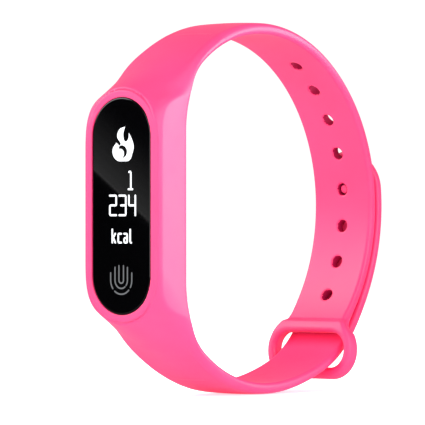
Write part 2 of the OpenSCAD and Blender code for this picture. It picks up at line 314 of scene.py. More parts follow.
def surface_net(values, axes):
    """Points and quads of the surface where a gridded field is 0."""
    inside = values < 0
    shape = np.array(values.shape)
    cells = tuple(shape - 1)
    cell_ids = []
    points = []
    for axis in range(3):
        a = (axis + 1) % 3
        b = (axis + 2) % 3
        low = [slice(None)] * 3
        high = [slice(None)] * 3
        low[axis] = slice(0, -1)
        high[axis] = slice(1, None)
        at = np.argwhere(inside[tuple(low)] != inside[tuple(high)])
        at = at[(at[:, a] > 0) & (at[:, a] < shape[a] - 1) & (at[:, b] > 0) & (at[:, b] < shape[b] - 1)]
        up = at.copy()
        up[:, axis] += 1
        v0 = values[tuple(at.T)]
        v1 = values[tuple(up.T)]
        crossing = np.stack([axes[c][at[:, c]] for c in range(3)], 1)
        crossing[:, axis] += v0 / (v0 - v1) * (axes[axis][up[:, axis]] - axes[axis][at[:, axis]])
        corners = []
        for da, db in ((0, 0), (1, 0), (1, 1), (0, 1)):
            cell = at.copy()
            cell[:, a] -= da
            cell[:, b] -= db
            corners.append(np.ravel_multi_index(tuple(cell.T), cells))
        quad = np.stack(corners, 1)
        leaving = v0 < 0
        quad[leaving] = quad[leaving][:, ::-1]
        cell_ids.append(quad)
        points.append(np.repeat(crossing[:, None, :], 4, 1))
    cell_ids = np.concatenate(cell_ids)
    points = np.concatenate(points).reshape(-1, 3)
    used, index = np.unique(cell_ids.ravel(), return_inverse=True)
    count = np.bincount(index, minlength=len(used))
    mean = np.stack([np.bincount(index, points[:, c], len(used)) / count for c in range(3)], 1)
    return mean, index.reshape(-1, 4)


def slope(field, p):
    """Gradient of a field at points p."""
    h = 0.01
    out = np.empty_like(p)
    for c in range(3):
        step = np.zeros(3)
        step[c] = h
        ahead = field(*(p + step).T)
        behind = field(*(p - step).T)
        out[:, c] = (ahead - behind) / (2 * h)
    return out


def settle(field, p, stretch, rounds=4):
    """Moves points p onto the surface. stretch gives each axis's real length per unit."""
    for _ in range(rounds):
        f = field(*p.T)
        g = slope(field, p) / stretch(p)
        move = -f[:, None] * g / np.maximum((g * g).sum(1), 0.2)[:, None]
        p = p + np.clip(move, -0.3, 0.3) / stretch(p)
    return p


def spaced(start, end, step_at):
    """Grid positions whose spacing depends on where they are."""
    ticks = [start]
    while ticks[-1] < end:
        ticks.append(ticks[-1] + step_at(ticks[-1]))
    return np.array(ticks)


def unit(v):
    """Rows of v at length 1."""
    return v / np.maximum(np.linalg.norm(v, axis=1), 1e-9)[:, None]


def no_stretch(p):
    """A straight grid has no stretch."""
    return np.ones_like(p)


# ---- The strap's path ----


def outward(angle):
    """Outward direction (Y, Z) at a turning angle in radians."""
    return np.stack([-np.cos(angle), np.sin(angle)], -1)


class BandPath:
    """The wrist-side line of the whole strap: the lower arm has negative positions along it."""

    def __init__(self, wrist_r, strap_t, edge):
        self.wrist_r = wrist_r
        self.strap_t = strap_t
        self.edge = edge
        self.bend_r = (wrist_r**2 - CRADLE_Y**2 - CRADLE_FLAT**2) / (2 * (wrist_r - CRADLE_Y))
        self.bend_c = np.array([self.bend_r - CRADLE_Y, CRADLE_FLAT])
        self.bend_end = math.atan2(CRADLE_FLAT, CRADLE_Y - self.bend_r)
        upper = self.upper_arm()
        lower = self.lower_arm()
        rows = np.concatenate([lower[:0:-1], upper])
        self.s, self.y, self.z, self.angle, self.turn, self.inner, self.outer, self.round = rows.T
        self.bend = np.gradient(self.angle, self.s)

    def thickness(self, turn, plain, far_from, fade):
        """Thickness of an arm at a turning angle in degrees."""
        front = CRADLE_T - RING_RISE - SHOULDER_T
        return (
            plain
            + (SHOULDER_T - plain) * ease((far_from - turn) / fade)
            + front * np.exp(-((turn / 20) ** 4))
        )

    def rounding(self, turn):
        """Radius of the outer edges at a turning angle in degrees: widest at the shoulders."""
        near = 1.1 * np.exp(-(((turn - 28) / 14) ** 2)) + 0.65 * np.exp(-(((turn - 60) / 28) ** 2))
        return self.edge + near - 0.3 * ease((12 - turn) / 12)

    def upper_arm(self):
        """Rows of the path from the capsule's middle up and round to the keeper loop's end."""
        last = math.pi - math.radians(LOOP_LEAN)
        reach = np.dot(LOOP_TOP, outward(last)) + LOOP_BEND_R - self.strap_t / 2
        turn_out = math.acos(reach / (self.wrist_r + LOOP_BEND_R))
        round_end = last + turn_out
        self.round_start = CRADLE_FLAT + self.bend_r * self.bend_end
        bend_out = self.round_start + self.wrist_r * (round_end - self.bend_end)
        straight = bend_out + LOOP_BEND_R * turn_out
        step = 0.05
        s = np.arange(0, straight + LOOP_H + 6, step)
        starts = [0, CRADLE_FLAT, self.round_start, bend_out, straight]
        bends = [0, 1 / self.bend_r, 1 / self.wrist_r, -1 / LOOP_BEND_R, 0]
        limits = np.array(starts[1:] + [1e9])
        angle = sum(
            np.clip(s, a, b) * k - a * k for a, b, k in zip(starts, limits, bends)
        )
        along = np.stack([np.sin(angle), np.cos(angle)], 1)
        line = np.zeros_like(along)
        line[1:] = np.cumsum((along[1:] + along[:-1]) / 2 * step, 0)
        line += (-CRADLE_Y, 0)
        ahead = (line - LOOP_TOP) @ along[-1]
        ahead[s < bend_out] = -99
        self.loop_s = float(np.interp(0, ahead, s))
        turn = np.degrees(angle)
        into_loop = ease((s - self.loop_s + 1.1) / 1.3)
        swell = (LOOP_T - self.strap_t) / 2 + 0.05
        thick = self.thickness(turn, self.strap_t, 140, 55)
        return np.stack(
            [s, line[:, 0], line[:, 1], angle, turn, -(swell + 0.2) * into_loop,
             thick + swell * into_loop, self.rounding(turn)], 1
        )

    def lower_arm(self):
        """Rows of the path from the capsule's middle down and round to the tail's tip."""
        flat = np.linspace(0, CRADLE_FLAT, 200, endpoint=False)
        turn = np.concatenate([np.zeros(200), np.linspace(0, 206, 4000)])
        angle = np.radians(turn)
        direction = outward(angle)
        bent = self.bend_c + self.bend_r * direction
        ring = self.wrist_r * direction
        line = np.where((angle < self.bend_end)[:, None], bent, ring)
        line[:200, 1] = flat
        rise = TAIL_LAP * ease((turn - 40) / 110) + LOOP_RISE * np.exp(-(((turn - 129) / 14) ** 2))
        line = line + rise[:, None] * direction
        line[:, 1] *= -1
        steps = np.linalg.norm(np.diff(line, axis=0), axis=1)
        s = -np.concatenate([[0], np.cumsum(steps)])
        along = np.gradient(line, s, axis=0)
        facing = np.unwrap(np.arctan2(along[:, 0], along[:, 1]))
        thick = self.thickness(turn, TAIL_T, 135, 50)
        return np.stack(
            [s, line[:, 0], line[:, 1], facing, turn, np.zeros(len(s)), thick, self.rounding(turn)], 1
        )

    def at(self, name, s):
        """A column of the path at positions s."""
        return np.interp(s, self.s, getattr(self, name))

    def lower_position(self, turn):
        """Position of a turning angle on the lower arm."""
        low = self.s <= 0
        return float(np.interp(-turn, -self.turn[low], self.s[low]))

    def place(self, p):
        """Points (position, x, height) in the row frame."""
        facing = self.at("angle", p[:, 0])
        y = self.at("y", p[:, 0]) - p[:, 2] * np.cos(facing)
        z = self.at("z", p[:, 0]) + p[:, 2] * np.sin(facing)
        return np.stack([p[:, 1], y, z], 1)

    def stretch(self, p):
        """Real length per unit of position, x and height."""
        out = np.ones_like(p)
        out[:, 0] = 1 + p[:, 2] * self.at("bend", p[:, 0])
        return out

    def face(self, p, g):
        """Directions in the row frame of gradients g at points p."""
        facing = self.at("angle", p[:, 0])
        along = g[:, 0] / self.stretch(p)[:, 0]
        y = along * np.sin(facing) - g[:, 2] * np.cos(facing)
        z = along * np.cos(facing) + g[:, 2] * np.sin(facing)
        return unit(np.stack([g[:, 1], y, z], 1))


def strap_field(path, settings):
    """Field of the whole strap over position, x and height."""
    half_width = settings.half_width / MM
    hole_r = settings.hole / MM
    crown = settings.crown / MM
    foot_r = path.wrist_r + SHOULDER_T
    edge_z = LENS_HALF + RING_R + 0.35
    lean = math.atan2(edge_z, -FRONT_Y) + math.acos(foot_r / math.hypot(FRONT_Y, edge_z))
    foot = foot_r * outward(lean)
    run = np.array([foot[0] - FRONT_Y, foot[1] - edge_z])
    flare = run[1] / run[0]
    run = run / np.linalg.norm(run)
    flare_cos = 1 / math.hypot(1, flare)
    stud_s = path.lower_position(180 + STUD_ANGLE)
    pitch = math.radians(HOLE_STEP) * path.wrist_r
    low_hole = path.round_start + path.wrist_r * (math.radians(LOW_HOLE) - path.bend_end)

    def half_at(y):
        """Half the strap's width, which grows towards the capsule."""
        return half_width + (CRADLE_HALF - half_width) * ease((-4 - y) / 26)

    def outline(s, x, y):
        """Field of the strap's plan: arms, round tail end, keeper loop."""
        plan = np.abs(x) - half_at(y)
        plan = np.where(s < stud_s, np.hypot(x, s - stud_s) - half_width, plan)
        u = s - path.loop_s
        plate = round_rectangle(x, u - LOOP_H / 2, LOOP_W / 2, LOOP_H / 2, LOOP_EAR)
        opening = round_rectangle(
            x, u - LOOP_BAR - LOOP_OPEN_H / 2, LOOP_OPEN_W / 2, LOOP_OPEN_H / 2, LOOP_CORNER
        )
        looped = smooth_min(np.maximum(plan, u - LOOP_BAR / 2), plate, LOOP_FILLET)
        looped = smooth_max(looped, -opening, LOOP_RIM)
        return np.where(u > -12, looped, plan)

    def pod(x, y, z, n):
        """Field of the cradle's body about the lens ring."""
        depth = y - FRONT_Y
        away = np.hypot(x, np.maximum(z - LENS_HALF, 0))
        cone = (away - RING_R - 0.25 - flare * np.maximum(depth, 0)) * flare_cos
        ahead = (y - foot[0]) * run[0] + (z - foot[1]) * run[1]
        cone = cone + 1.5 * ease((ahead + 9) / 10)
        blend = 0.7 + 1.5 * ease((z - LENS_HALF + 2) / 6)
        body = smooth_max(cone, np.abs(x) - half_at(y), blend)
        groove = GROOVE_DEPTH * np.exp(-(((away - RING_R) / GROOVE_WIDTH) ** 2))
        body = smooth_max(body, FRONT_Y + RING_RISE + groove - y, RING_EDGE)
        wrist_side = 0.4 + 2.4 * ease((ahead + 14) / 14) - n
        return np.maximum(np.maximum(body, ahead - 2), wrist_side)

    def field(s, x, n):
        facing = path.at("angle", s)
        y = path.at("y", s) - n * np.cos(facing)
        z = np.abs(path.at("z", s) + n * np.sin(facing))
        plan = outline(s, x, y)
        looped = ease((s - path.loop_s + 5) / 4)
        arch = crown * (1 - looped) * np.minimum(np.abs(x) / half_width, 1.2) ** 2
        soft = EDGE_IN + (path.edge - EDGE_IN) * looped
        outer = round_section(plan, n - path.at("outer", s) + arch, path.at("round", s))
        solid = np.maximum(outer, round_section(plan, path.at("inner", s) - n, soft))
        solid = np.where(y < 2, smooth_min(solid, pod(x, y, z, n), POD_FILLET), solid)
        pocket = np.maximum(pill_field(x, z, POCKET_R, LENS_HALF), y + 15)
        solid = smooth_max(solid, -pocket, POCKET_RIM)
        number = np.clip(np.round((low_hole - s) / pitch), 0, HOLE_COUNT - 1)
        hole = np.hypot(x, s - low_hole + number * pitch) - hole_r
        return smooth_max(solid, -hole, HOLE_RIM)

    return field, low_hole, pitch


# ---- Meshes ----


def add_object(name, data):
    """A new object in the scene."""
    made = bpy.data.objects.new(name, data)
    bpy.context.scene.collection.objects.link(made)
    return made


def make_piece(name, points, faces, material, normals=None, sharp=None):
    """A mesh object from points in millimetres, smooth except at edges over the angle sharp."""
    mesh = bpy.data.meshes.new(name)
    mesh.from_pydata((np.asarray(points) * MM).tolist(), [], [list(f) for f in faces])
    mesh.polygons.foreach_set("use_smooth", [True] * len(mesh.polygons))
    mesh.materials.append(material)
    mesh.update()
    if normals is not None:
        mesh.normals_split_custom_set_from_vertices(np.asarray(normals).tolist())
    elif sharp is not None:
        mesh.set_sharp_from_angle(angle=math.radians(sharp))
    return add_object(name, mesh)


def field_surface(field, axes, stretch=no_stretch):
    """Points and quads of a field on a grid, settled on the exact surface."""
    grid = np.meshgrid(*axes, indexing="ij", sparse=True)
    points, quads = surface_net(field(*grid), axes)
    return settle(field, points, stretch), quads


def face_out(points, quads, normals):
    """Quads in the order that faces along the normals."""
    corners = points[quads]
    facing = np.cross(corners[:, 2] - corners[:, 0], corners[:, 3] - corners[:, 1])
    return quads[:, ::-1] if (facing * normals[quads[:, 0]]).sum() < 0 else quads


def baked(draft):
    """The finished mesh of a draft object, which is removed."""
    graph = bpy.context.evaluated_depsgraph_get()
    graph.update()
    mesh = bpy.data.meshes.new_from_object(draft.evaluated_get(graph))
    bpy.data.objects.remove(draft)
    return mesh


def stand_up(mesh, centre, depth):
    """Turns a mesh drawn flat into the lens plane, about (x, z) and at a depth along Y."""
    co = np.zeros(len(mesh.vertices) * 3)
    mesh.vertices.foreach_get("co", co)
    x, z, up = co.reshape(-1, 3).T
    placed = np.stack([x + centre[0] * MM, depth * MM - up, z + centre[1] * MM], 1)
    mesh.vertices.foreach_set("co", placed.ravel())
    mesh.update()


def pill_ring(r, y, half, steps):
    """Points of a pill outline of radius r along Z, at depth y."""
    ring = []
    for side, start in ((1, 0), (-1, math.pi)):
        for i in range(steps + 1):
            t = start + math.pi * i / steps
            ring.append((r * math.cos(t), y, side * half + r * math.sin(t)))
    return ring


def pill_loft(profile, half, steps=32, closed=False):
    """Points and faces of a profile of (radius, depth) swept round a pill outline."""
    points = []
    for r, y in profile:
        points += pill_ring(r, y, half, steps)
    count = 2 * (steps + 1)
    rows = len(profile)
    faces = []
    for row in range(rows if closed else rows - 1):
        a = row * count
        b = (row + 1) % rows * count
        for i in range(count):
            j = (i + 1) % count
            faces.append((a + i, a + j, b + j, b + i))
    if not closed:
        faces.append(list(range(count))[::-1])
        faces.append([(rows - 1) * count + i for i in range(count)])
    return points, faces


def corner(r, y, radius, from_angle, to_angle, steps=5):
    """Profile points of a round corner about (r, y)."""
    out = []
    for i in range(steps + 1):
        t = math.radians(from_angle + (to_angle - from_angle) * i / steps)
        out.append((r + radius * math.cos(t), y + radius * math.sin(t)))
    return out


def turned(profile, centre, axis, steps=40):
    """Points and faces of a profile of (radius, height) turned about an axis from a centre."""
    axis = Vector(axis).normalized()
    side = axis.orthogonal().normalized()
    other = axis.cross(side)
    points = []
    faces = []
    for r, h in profile:
        for i in range(steps):
            t = 2 * math.pi * i / steps
            points.append(Vector(centre) + axis * h + (side * math.cos(t) + other * math.sin(t)) * r)
    for row in range(len(profile) - 1):
        for i in range(steps):
            j = (i + 1) % steps
            a = row * steps
            b = a + steps
            faces.append((a + i, a + j, b + j, b + i))
    faces.append(list(range(steps))[::-1])
    faces.append([(len(profile) - 1) * steps + i for i in range(steps)])
    return [tuple(p) for p in points], faces


# ---- Geometry nodes: strokes and rings that follow a line ----


def socket(tree, name, kind, in_out="INPUT"):
    """Adds a named socket to a node tree and gives its identifier."""
    return tree.interface.new_socket(name=name, in_out=in_out, socket_type=kind).identifier


def stroke_tree():
    """Sweeps a flat bar along each line, with round corners and round ends."""
    tree = bpy.data.node_groups.get("Bar along a line")
    if tree:
        return tree
    tree = bpy.data.node_groups.new("Bar along a line", "GeometryNodeTree")
    socket(tree, "Geometry", "NodeSocketGeometry")
    for name in ("Width", "Height", "Corner Radius"):
        socket(tree, name, "NodeSocketFloat")
    socket(tree, "Finish", "NodeSocketMaterial")
    socket(tree, "Geometry", "NodeSocketGeometry", "OUTPUT")
    new = tree.nodes.new
    link = tree.links.new
    given = new("NodeGroupInput")
    result = new("NodeGroupOutput")
    line = new("GeometryNodeMeshToCurve")
    fillet = new("GeometryNodeFilletCurve")
    bar = new("GeometryNodeCurvePrimitiveQuadrilateral")
    sweep = new("GeometryNodeCurveToMesh")
    upright = new("GeometryNodeSetCurveNormal")
    half = new("ShaderNodeMath")
    cap = new("GeometryNodeMeshCylinder")
    ends = new("GeometryNodeCurveEndpointSelection")
    ring = new("GeometryNodeInputSplineCyclic")
    is_open = new("FunctionNodeBooleanMath")
    both = new("FunctionNodeBooleanMath")
    caps = new("GeometryNodeInstanceOnPoints")
    join = new("GeometryNodeJoinGeometry")
    solid = new("GeometryNodeRealizeInstances")
    finish = new("GeometryNodeSetMaterial")
    upright.mode = "Z_UP"
    if hasattr(fillet, "mode"):
        fillet.mode = "POLY"
    fillet.inputs["Count"].default_value = 6
    fillet.inputs["Limit Radius"].default_value = True
    sweep.inputs["Fill Caps"].default_value = True
    half.operation = "MULTIPLY"
    half.inputs[1].default_value = 0.5
    cap.inputs["Vertices"].default_value = 20
    is_open.operation = "NOT"
    both.operation = "AND"
    link(given.outputs["Geometry"], line.inputs[0])
    link(line.outputs[0], fillet.inputs["Curve"])
    link(given.outputs["Corner Radius"], fillet.inputs["Radius"])
    link(fillet.outputs[0], upright.inputs["Curve"])
    link(upright.outputs[0], sweep.inputs["Curve"])
    link(given.outputs["Width"], bar.inputs["Width"])
    link(given.outputs["Height"], bar.inputs["Height"])
    link(bar.outputs[0], sweep.inputs["Profile Curve"])
    link(given.outputs["Width"], half.inputs[0])
    link(half.outputs[0], cap.inputs["Radius"])
    link(given.outputs["Height"], cap.inputs["Depth"])
    link(ring.outputs[0], is_open.inputs[0])
    link(ends.outputs[0], both.inputs[0])
    link(is_open.outputs[0], both.inputs[1])
    link(upright.outputs[0], caps.inputs["Points"])
    link(both.outputs[0], caps.inputs["Selection"])
    link(cap.outputs["Mesh"], caps.inputs["Instance"])
    link(caps.outputs[0], join.inputs[0])
    link(sweep.outputs[0], join.inputs[0])
    link(join.outputs[0], solid.inputs[0])
    link(solid.outputs[0], finish.inputs["Geometry"])
    link(given.outputs["Finish"], finish.inputs["Material"])
    link(finish.outputs[0], result.inputs["Geometry"])
    return tree


def stroke_piece(name, lines, width, height, radius, material, depth):
    """Lines of (x, z) points swept with a flat bar, centred at a depth along Y."""
    points = []
    edges = []
    for line, ring in lines:
        first = len(points)
        points += [(x * MM, z * MM, 0) for x, z in line]
        edges += [(first + i, first + i + 1) for i in range(len(line) - 1)]
        if ring:
            edges.append((len(points) - 1, first))
    mesh = bpy.data.meshes.new(name + "_lines")
    mesh.from_pydata(points, edges, [])
    draft = add_object(name + "_lines", mesh)
    tree = stroke_tree()
    modifier = draft.modifiers.new("Bar", "NODES")
    modifier.node_group = tree
    values = {
        "Width": width * MM, "Height": height * MM, "Corner Radius": radius * MM,
        "Finish": material,
    }
    for item in tree.interface.items_tree:
        if item.item_type == "SOCKET" and item.in_out == "INPUT" and item.name in values:
            modifier[item.identifier] = values[item.name]
    made = baked(draft)
    bpy.data.meshes.remove(mesh)
    made.name = name
    stand_up(made, (0, 0), depth)
    if not len(made.polygons):
        raise RuntimeError(name + " came out empty")
    if not made.materials:
        made.materials.append(material)
    made.set_sharp_from_angle(angle=math.radians(30))
    return add_object(name, made)


# ---- Shader node groups ----


def new_group(name, inputs, outputs):
    """A shader node group with named sockets, and its input and output nodes."""
    group = bpy.data.node_groups.new(name, "ShaderNodeTree")
    for label, kind, value in inputs:
        made = group.interface.new_socket(name=label, in_out="INPUT", socket_type=kind)
        if value is not None:
            made.default_value = value
    for label, kind in outputs:
        group.interface.new_socket(name=label, in_out="OUTPUT", socket_type=kind)
    return group, group.nodes.new("NodeGroupInput"), group.nodes.new("NodeGroupOutput")


def noise(tree, vector, scale, detail=3.0, roughness=0.55):
    """A noise texture node, its scale a number or a socket."""
    node = tree.nodes.new("ShaderNodeTexNoise")
    node.inputs["Detail"].default_value = detail
    node.inputs["Roughness"].default_value = roughness
    tree.links.new(vector, node.inputs["Vector"])
    if isinstance(scale, (int, float)):
        node.inputs["Scale"].default_value = scale
    else:
        tree.links.new(scale, node.inputs["Scale"])
    return node.outputs["Fac"]


def maths(tree, operation, *values):
    """A math node on sockets or numbers."""
    node = tree.nodes.new("ShaderNodeMath")
    node.operation = operation
    for i, value in enumerate(values):
        if isinstance(value, (int, float)):
            node.inputs[i].default_value = value
        else:
            tree.links.new(value, node.inputs[i])
    return node.outputs[0]


def remap(tree, value, low, high, new_low, new_high):
    """A map range node with fixed limits."""
    node = tree.nodes.new("ShaderNodeMapRange")
    for i, number in enumerate((low, high, new_low, new_high)):
        node.inputs[i + 1].default_value = number
    tree.links.new(value, node.inputs[0])
    return node.outputs[0]


def blend_colours(tree, mask, first, second):
    """Mixes two colours, each a colour or a socket, by a mask."""
    node = tree.nodes.new("ShaderNodeMix")
    node.data_type = "RGBA"
    for i, value in ((6, first), (7, second)):
        if isinstance(value, (tuple, list)):
            node.inputs[i].default_value = (*value, 1)
        else:
            tree.links.new(value, node.inputs[i])
    tree.links.new(mask, node.inputs[0])
    return node.outputs[2]


def white_background(tree, strength):
    """An even white background."""
    node = tree.nodes.new("ShaderNodeBackground")
    node.inputs["Color"].default_value = (1, 1, 1, 1)
    node.inputs["Strength"].default_value = strength
    return node.outputs[0]


def mix_shaders(tree, mask, first, second):
    """Goes from the first shader to the second by a mask."""
    node = tree.nodes.new("ShaderNodeMixShader")
    for i, value in enumerate((mask, first, second)):
        tree.links.new(value, node.inputs[i])
    return node.outputs[0]


def split_xyz(tree, place):
    """The three parts of a vector socket."""
    node = tree.nodes.new("ShaderNodeSeparateXYZ")
    tree.links.new(place, node.inputs[0])
    return node.outputs


def moulded_group():
    """Grain of a moulded surface, a slow mottle and faint handling marks."""
    group = bpy.data.node_groups.get("Moulded surface")
    if group:
        return group
    group, given, result = new_group(
        "Moulded surface",
        [("Vector", "NodeSocketVector", None), ("Grain Scale", "NodeSocketFloat", 6000.0),
         ("Mottle Scale", "NodeSocketFloat", 90.0)],
        [("Grain", "NodeSocketFloat"), ("Mottle", "NodeSocketFloat"), ("Marks", "NodeSocketFloat")],
    )
    link = group.links.new
    place = given.outputs["Vector"]
    grain = noise(group, place, given.outputs["Grain Scale"], 4.0, 0.6)
    mottle = noise(group, place, given.outputs["Mottle Scale"], 2.0, 0.5)
    swirl = noise(group, place, 350.0, 3.0, 0.7)
    marks = maths(group, "MULTIPLY", remap(group, swirl, 0.5, 0.8, 0.0, 1.0), mottle)
    link(grain, result.inputs["Grain"])
    link(mottle, result.inputs["Mottle"])
    link(marks, result.inputs["Marks"])
    return group


def start_material(name):
    """A new node material, with its shader, its tree and its Object coordinates."""
    material = bpy.data.materials.new(name)
    material.use_nodes = True
    tree = material.node_tree
    shader = tree.nodes["Principled BSDF"]
    place = tree.nodes.new("ShaderNodeTexCoord").outputs["Object"]
    return material, tree, shader, place


def grain_of(tree, place, grain_scale, mottle_scale):
    """The moulded surface group placed in a material."""
    node = tree.nodes.new("ShaderNodeGroup")
    node.node_tree = moulded_group()
    node.inputs["Grain Scale"].default_value = grain_scale
    node.inputs["Mottle Scale"].default_value = mottle_scale
    tree.links.new(place, node.inputs["Vector"])
    return node.outputs


def bump(tree, shader, height, depth, strength=1.0):
    """Feeds a height to the shader's normal. Depth is in millimetres."""
    node = tree.nodes.new("ShaderNodeBump")
    node.inputs["Distance"].default_value = depth * MM
    node.inputs["Strength"].default_value = strength
    tree.links.new(height, node.inputs["Height"])
    tree.links.new(node.outputs["Normal"], shader.inputs["Normal"])


def moulded_material(name, light, deep, rough, grain_scale=6000, depth=0.01, mottle=90, **fixed):
    """A plastic or rubber finish: two tints, a rough range and a moulded grain."""
    made = bpy.data.materials.get(name)
    if made:
        return made
    material, tree, shader, place = start_material(name)
    surface = grain_of(tree, place, grain_scale, mottle)
    tint = blend_colours(tree, remap(tree, surface["Mottle"], 0.3, 0.7, 0, 1), deep, light)
    tree.links.new(tint, shader.inputs["Base Color"])
    worn = maths(tree, "ADD", surface["Mottle"], maths(tree, "MULTIPLY", surface["Marks"], 0.5))
    tree.links.new(remap(tree, worn, 0.3, 0.9, *rough), shader.inputs["Roughness"])
    bump(tree, shader, surface["Grain"], depth)
    for label, value in fixed.items():
        shader.inputs[label.replace("_", " ").title().replace("Ior", "IOR")].default_value = value
    return material


def metal_material(name, light, deep, rough, lines=1800, turn=(1, 1, 0.04), depth=0.004):
    """A metal with fine drawn lines."""
    made = bpy.data.materials.get(name)
    if made:
        return made
    material, tree, shader, place = start_material(name)
    squeeze = tree.nodes.new("ShaderNodeMapping")
    squeeze.inputs["Scale"].default_value = turn
    tree.links.new(place, squeeze.inputs["Vector"])
    streak = noise(tree, squeeze.outputs[0], lines, 2.0, 0.5)
    surface = grain_of(tree, place, 3000, 150)
    tree.links.new(blend_colours(tree, streak, deep, light), shader.inputs["Base Color"])
    worn = maths(tree, "ADD", streak, maths(tree, "MULTIPLY", surface["Marks"], 0.6))
    tree.links.new(remap(tree, worn, 0.3, 1.0, *rough), shader.inputs["Roughness"])
    shader.inputs["Metallic"].default_value = 1
    bump(tree, shader, streak, depth)
    return material


def silicone():
    """Soft satin pink silicone."""
    s = bpy.context.scene.strap_settings
    return moulded_material(
        "silicone_pink", tuple(s.light_pink), tuple(s.deep_pink), (0.42, 0.52),
        grain_scale=5000, depth=0.012, mottle=60,
        specular_ior_level=0.6, sheen_weight=0.06, sheen_roughness=0.5,
    )


def hole_silicone():
    """Silicone of the moulded holes' walls, rougher, and darker as painted shade in the holes."""
    return moulded_material(
        "silicone_hole_painted_shade", (0.46, 0.004, 0.07), (0.38, 0.003, 0.055), (0.6, 0.75),
        grain_scale=5000, depth=0.01, mottle=60, specular_ior_level=0.2,
    )


def black_shell():
    """Fine satin black plastic."""
    shell = tuple(bpy.context.scene.capsule_settings.shell)
    light = tuple(c * 1.6 + 0.002 for c in shell)
    return moulded_material("shell_black", light, shell, (0.36, 0.5), grain_scale=7000, depth=0.02)


def pad_gold():
    """Gold plating of the pads."""
    return metal_material("pad_gold", (0.9, 0.66, 0.3), (0.75, 0.5, 0.2), (0.18, 0.3))


def board_material():
    """Green solder mask with raised traces and bright pads."""
    material, tree, shader, place = start_material("solder_mask")
    lay = tree.nodes.new("ShaderNodeMapping")
    lay.inputs["Rotation"].default_value = (math.radians(90), 0, 0)
    tree.links.new(place, lay.inputs["Vector"])
    bricks = tree.nodes.new("ShaderNodeTexBrick")
    bricks.inputs["Scale"].default_value = 500
    bricks.inputs["Mortar Size"].default_value = 0.03
    tree.links.new(lay.outputs[0], bricks.inputs["Vector"])
    cells = tree.nodes.new("ShaderNodeTexVoronoi")
    cells.inputs["Scale"].default_value = 900
    tree.links.new(place, cells.inputs["Vector"])
    pads = maths(tree, "LESS_THAN", cells.outputs["Distance"], 0.16)
    mask = blend_colours(tree, bricks.outputs["Fac"], (0.012, 0.09, 0.045), (0.02, 0.14, 0.07))
    tree.links.new(blend_colours(tree, pads, mask, (0.75, 0.55, 0.25)), shader.inputs["Base Color"])
    tree.links.new(pads, shader.inputs["Metallic"])
    surface = grain_of(tree, place, 2500, 200)
    tree.links.new(remap(tree, surface["Mottle"], 0.3, 0.7, 0.25, 0.4), shader.inputs["Roughness"])
    bump(tree, shader, bricks.outputs["Fac"], 0.02)
    return material


def chip_material():
    """Moulded chip package with a dimple grain."""
    return moulded_material(
        "chip_package", (0.03, 0.03, 0.033), (0.018, 0.018, 0.02), (0.45, 0.6), 4000, 0.01, 300
    )


def pouch_material():
    """Crinkled foil pouch."""
    material, tree, shader, place = start_material("foil_pouch")
    crinkle = tree.nodes.new("ShaderNodeTexVoronoi")
    crinkle.feature = "DISTANCE_TO_EDGE"
    crinkle.inputs["Scale"].default_value = 220
    tree.links.new(place, crinkle.inputs["Vector"])
    surface = grain_of(tree, place, 1500, 120)
    tint = blend_colours(tree, surface["Mottle"], (0.5, 0.5, 0.52), (0.72, 0.72, 0.74))
    tree.links.new(tint, shader.inputs["Base Color"])
    tree.links.new(remap(tree, surface["Grain"], 0.3, 0.7, 0.25, 0.42), shader.inputs["Roughness"])
    shader.inputs["Metallic"].default_value = 1
    bump(tree, shader, crinkle.outputs["Distance"], 0.05, 0.4)
    return material


def lead_material(name, left, right):
    """Insulated wire, one colour on each side of the middle."""
    material, tree, shader, place = start_material(name)
    side = maths(tree, "GREATER_THAN", split_xyz(tree, place)["X"], 0.0)
    surface = grain_of(tree, place, 4000, 200)
    shade = blend_colours(tree, side, left, right)
    dull = blend_colours(tree, maths(tree, "MULTIPLY", surface["Marks"], 0.4), shade, (0.3, 0.3, 0.3))
    tree.links.new(dull, shader.inputs["Base Color"])
    tree.links.new(remap(tree, surface["Grain"], 0.2, 0.8, 0.35, 0.5), shader.inputs["Roughness"])
    bump(tree, shader, surface["Grain"], 0.01)
    return material


def lens_material():
    """Polished black lens with the faintest smears."""
    c = bpy.context.scene.capsule_settings
    deep = tuple(c.lens)
    light = tuple(v * 1.5 for v in deep)
    return moulded_material(
        "lens_black", light, deep, (0.015, 0.04), grain_scale=400, depth=0.0002, mottle=40,
        specular_ior_level=0.45,
    )


def glow_material(name, colour_in, strength):
    """Lit display signs, with the display's fine dot pattern."""
    material, tree, shader, place = start_material(name)
    split = split_xyz(tree, place)
    turns = 2 * math.pi / (DOT_PITCH * MM)
    rows = []
    for axis in ("X", "Z"):
        wave = maths(tree, "SINE", maths(tree, "MULTIPLY", split[axis], turns))
        rows.append(remap(tree, wave, -1, -0.6, 0.75, 1.0))
    dots = maths(tree, "MULTIPLY", *rows)
    dim = tuple(c * 0.6 for c in colour_in)
    glow = blend_colours(tree, dots, dim, tuple(colour_in))
    base = blend_colours(tree, dots, (0, 0, 0), (0.02, 0.02, 0.02))
    tree.links.new(glow, shader.inputs["Emission Color"])
    shader.inputs["Emission Strength"].default_value = strength
    tree.links.new(base, shader.inputs["Base Color"])
    shader.inputs["Specular IOR Level"].default_value = 0
    return material


